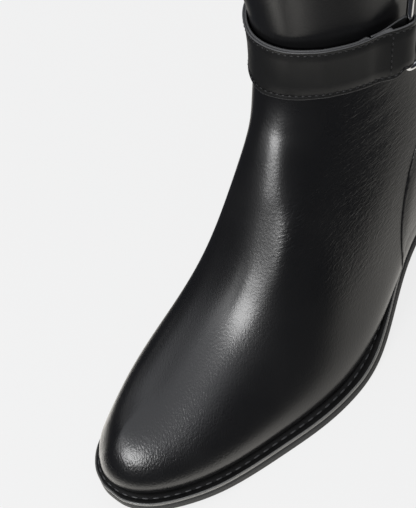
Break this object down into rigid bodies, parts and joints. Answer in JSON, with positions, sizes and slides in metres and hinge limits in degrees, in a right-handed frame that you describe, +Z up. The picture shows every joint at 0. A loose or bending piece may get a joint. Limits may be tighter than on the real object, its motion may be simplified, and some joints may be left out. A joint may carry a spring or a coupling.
{
  "type": "mid-calf boot",
  "caption": "Left mid-calf leather boot with a low block heel, welted sole, inner-side zip with a hinged pull tab, and an ankle strap folded through a metal loop buckle.",
  "frame": {"origin": "near the middle of the heel's footprint, on the floor", "axes": "+Z up from the floor, -Y towards the toe, +X towards the outer side of the left foot"},
  "size_m": [0.1064, 0.2832, 0.3002],
  "materials": {
    "upper_leather": "smooth black, satin with a soft sheen",
    "strap_leather": "smooth black, satin, cut edges a little lighter",
    "welt": "black, stitched, waxed",
    "outsole": "black, matt, finely ribbed under the ball",
    "heel_block": "black, satin",
    "heel_top_piece": "black, matt",
    "insole": "dark, matt",
    "zip_tape": "black woven tape with dark teeth",
    "zip_metal": "polished",
    "buckle_metal": "polished"
  },
  "bodies": {
    "boot": {"upper": "upper_leather", "heel_counter": "upper_leather", "strap_front": "strap_leather", "strap_back": "strap_leather", "welt": "welt", "outsole": "outsole", "heel_block": "heel_block", "heel_top_piece": "heel_top_piece", "insole": "insole", "zip_chain": "zip_tape", "zip_slider": "zip_metal", "buckle_frame": "buckle_metal"},
    "pull_tab": {"zip_pull_tab": "zip_metal"}
  },
  "joints": [
    {"name": "pull_tab_hinge", "type": "hinge", "parent": "boot", "child": "pull_tab", "pos_m": [-0.05269, -0.01542, 0.28643], "axis": [0, 1, 0], "range_deg": [0, 170]}
  ]
}
